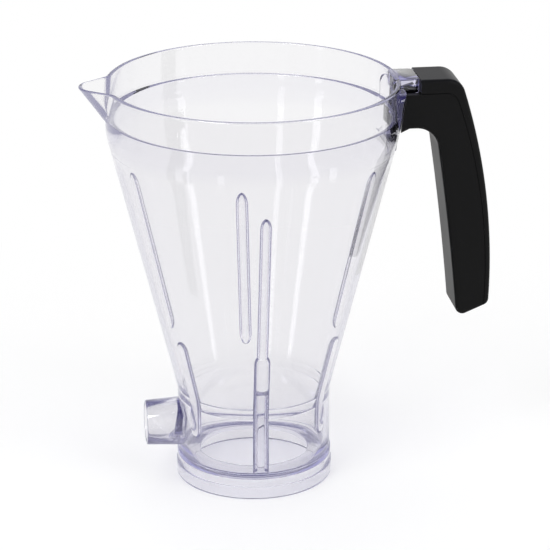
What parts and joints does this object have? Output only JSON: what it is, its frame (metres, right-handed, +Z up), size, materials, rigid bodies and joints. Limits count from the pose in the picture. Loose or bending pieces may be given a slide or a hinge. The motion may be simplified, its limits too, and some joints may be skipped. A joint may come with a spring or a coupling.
{
  "type": "blender jug",
  "caption": "Clear tapered blender jug with inner ribs, pouring spout, outlet stub on the neck, blade opening in the base and a black open-ended handle.",
  "frame": {"origin": "jug axis in the plane of the base ring that it stands on", "axes": "+Z up along the jug axis, +X towards the handle, spout and outlet stub towards -X"},
  "size_m": [0.2188, 0.155, 0.222],
  "materials": {
    "clear_plastic": "polished, clear with a faint violet-blue tint",
    "black_plastic": "satin moulded",
    "black_cover": "satin moulded"
  },
  "bodies": {
    "root": {"jug_body": "clear_plastic", "handle_grip": "black_plastic", "handle_cover": "black_cover"}
  },
  "joints": []
}
